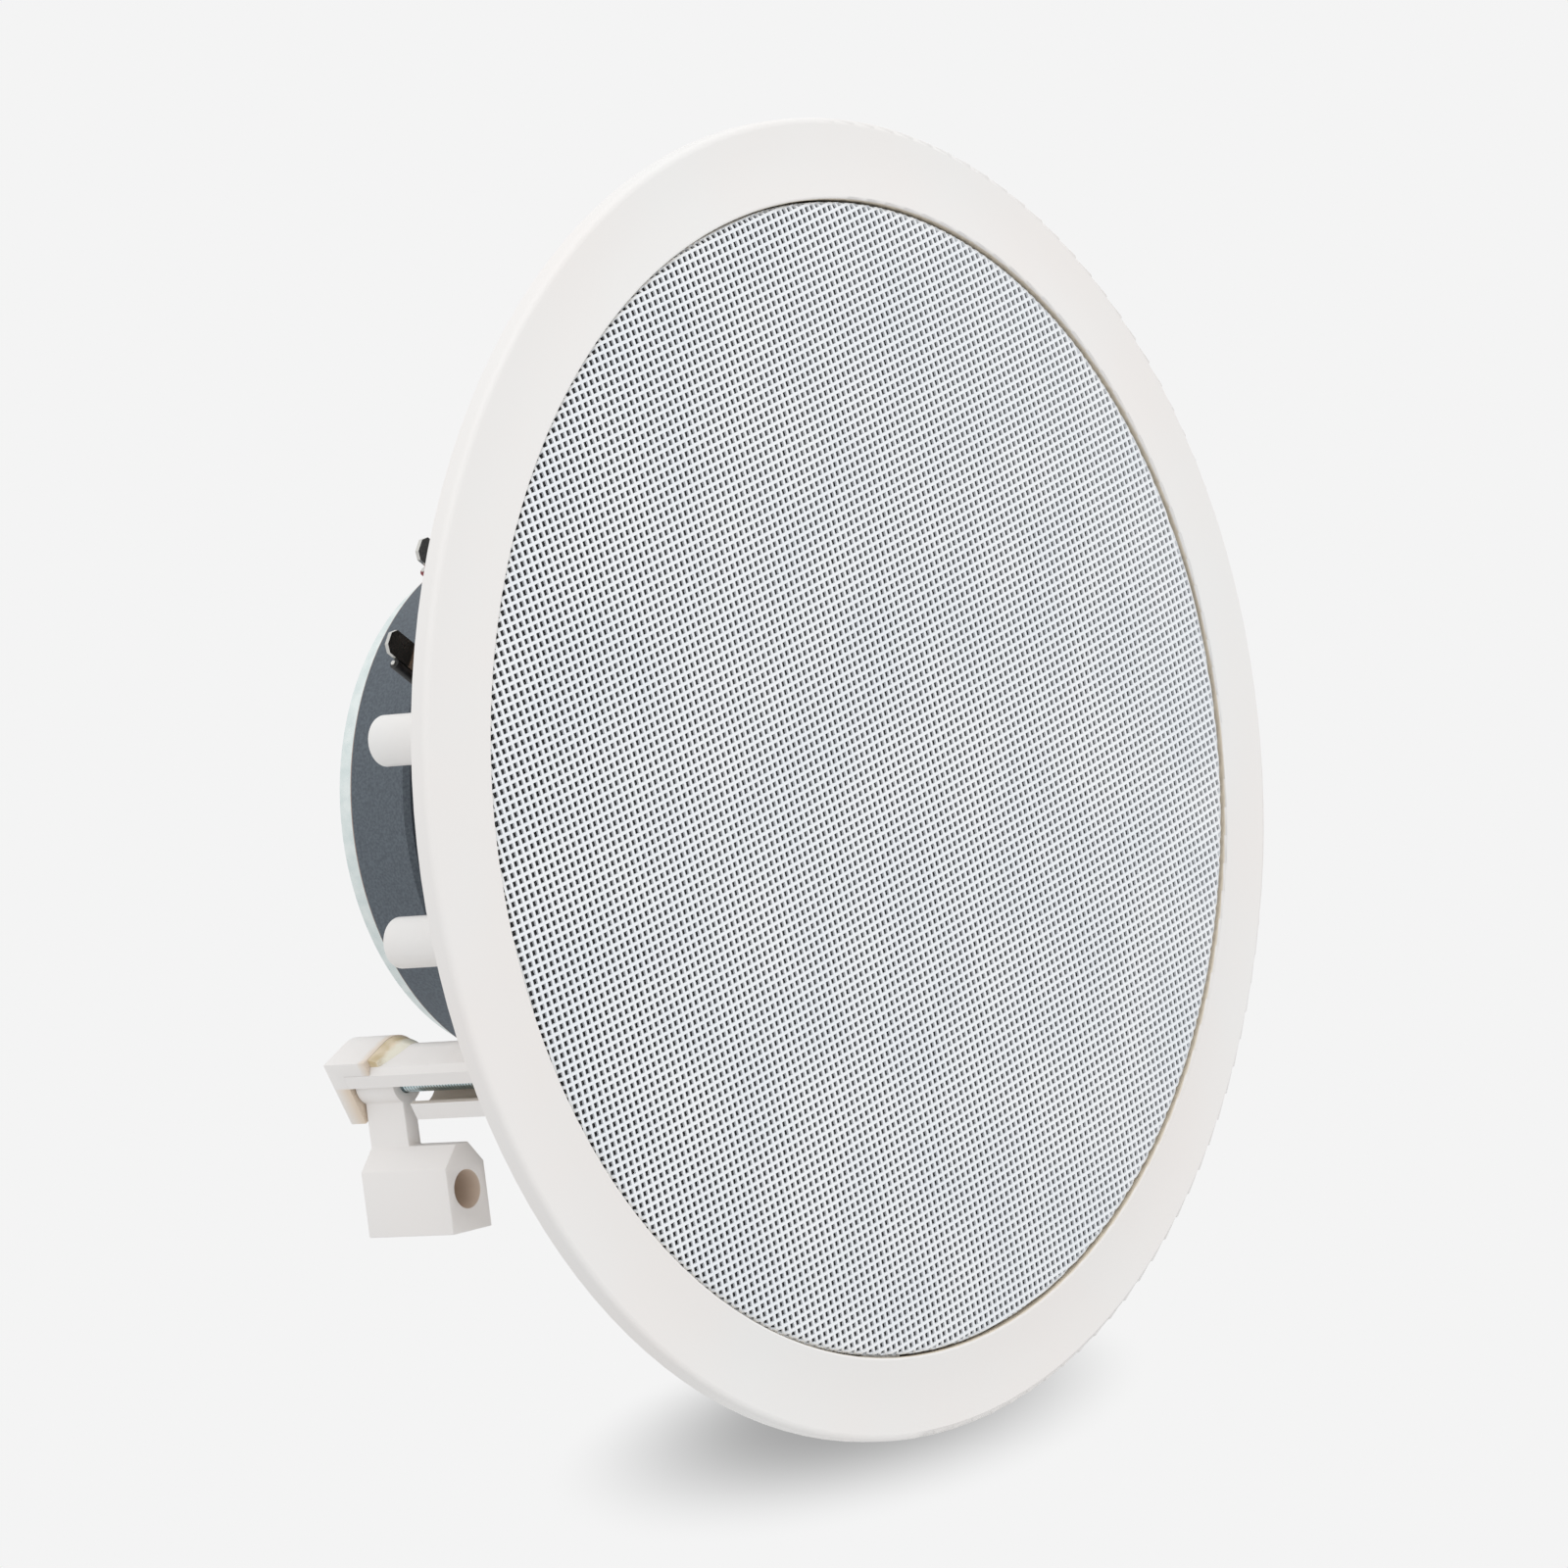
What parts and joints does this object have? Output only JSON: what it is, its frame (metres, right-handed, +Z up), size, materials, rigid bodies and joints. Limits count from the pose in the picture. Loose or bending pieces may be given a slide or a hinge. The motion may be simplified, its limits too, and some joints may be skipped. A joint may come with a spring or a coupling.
{
  "type": "in-ceiling loudspeaker",
  "caption": "Round in-ceiling loudspeaker: white trim bezel, domed perforated grille, ferrite-magnet driver, and swing-out dogs on screws that clamp it in a ceiling cut-out.",
  "frame": {"origin": "centre of the flange's back face, on the ceiling surface", "axes": "+Y into the ceiling void along the speaker's axis, +Z up and +X right as seen from the room"},
  "size_m": [0.245, 0.0946, 0.245],
  "materials": {
    "white_abs": "fine satin moulding",
    "white_paint": "satin powder coat",
    "black_cloth": "thin open weave",
    "black_paint": "semi-matte",
    "black_foam": "matte foam",
    "zinc_plate": "bright zinc",
    "black_rubber": "matte",
    "paper": "pressed paper pulp",
    "former_paper": "matte",
    "copper": "enamelled wire",
    "treated_cloth": "resin-stiffened cloth",
    "ferrite": "ground and sintered",
    "phenolic": "smooth",
    "tinned_brass": "tin plated"
  },
  "bodies": {
    "housing": {"bezel": "white_abs", "grille": "white_paint", "grille_scrim": "black_cloth", "basket": "black_paint", "front_plate": "black_paint", "driver_gasket": "black_foam", "driver_screws": "zinc_plate", "surround": "black_rubber", "spider": "treated_cloth", "magnet": "ferrite", "back_plate": "zinc_plate", "terminal_board": "phenolic", "terminal_blade_positive": "tinned_brass", "terminal_blade_negative": "tinned_brass", "terminal_rivets": "tinned_brass", "tinsel_lead_positive": "copper", "tinsel_lead_negative": "copper", "clamp_cap_top": "white_abs", "clamp_cap_left": "white_abs", "clamp_cap_right": "white_abs"},
    "cone_assembly": {"cone": "paper", "dust_cap": "paper", "voice_coil_former": "former_paper", "voice_coil_winding": "copper"},
    "clamp_screw_top": {"clamp_screw_top": "zinc_plate"},
    "clamp_dog_top": {"clamp_dog_top": "white_abs"},
    "clamp_screw_left": {"clamp_screw_left": "zinc_plate"},
    "clamp_dog_left": {"clamp_dog_left": "white_abs"},
    "clamp_screw_right": {"clamp_screw_right": "zinc_plate"},
    "clamp_dog_right": {"clamp_dog_right": "white_abs"}
  },
  "joints": [
    {"name": "cone_travel", "type": "slide", "parent": "housing", "child": "cone_assembly", "axis": [0, -1, 0], "range_m": [-0.004, 0.004], "stiffness_N_per_m": 1500, "deforming": ["surround", "spider", "tinsel_lead_positive", "tinsel_lead_negative"]},
    {"name": "clamp_screw_top_spin", "type": "hinge", "parent": "housing", "child": "clamp_screw_top", "pos_m": [0, 0.03, 0.097], "axis": [0, -1, 0], "continuous": true},
    {"name": "clamp_dog_top_swing", "type": "hinge", "parent": "housing", "child": "clamp_dog_top", "pos_m": [0, 0.03, 0.097], "axis": [0, -1, 0], "range_deg": [-130, 0]},
    {"name": "clamp_screw_left_spin", "type": "hinge", "parent": "housing", "child": "clamp_screw_left", "pos_m": [-0.084, 0.03, -0.0485], "axis": [0, -1, 0], "continuous": true},
    {"name": "clamp_dog_left_swing", "type": "hinge", "parent": "housing", "child": "clamp_dog_left", "pos_m": [-0.084, 0.03, -0.0485], "axis": [0, -1, 0], "range_deg": [-64.5, 65.5]},
    {"name": "clamp_screw_right_spin", "type": "hinge", "parent": "housing", "child": "clamp_screw_right", "pos_m": [0.084, 0.03, -0.0485], "axis": [0, -1, 0], "continuous": true},
    {"name": "clamp_dog_right_swing", "type": "hinge", "parent": "housing", "child": "clamp_dog_right", "pos_m": [0.084, 0.03, -0.0485], "axis": [0, -1, 0], "range_deg": [-130, 0]}
  ]
}
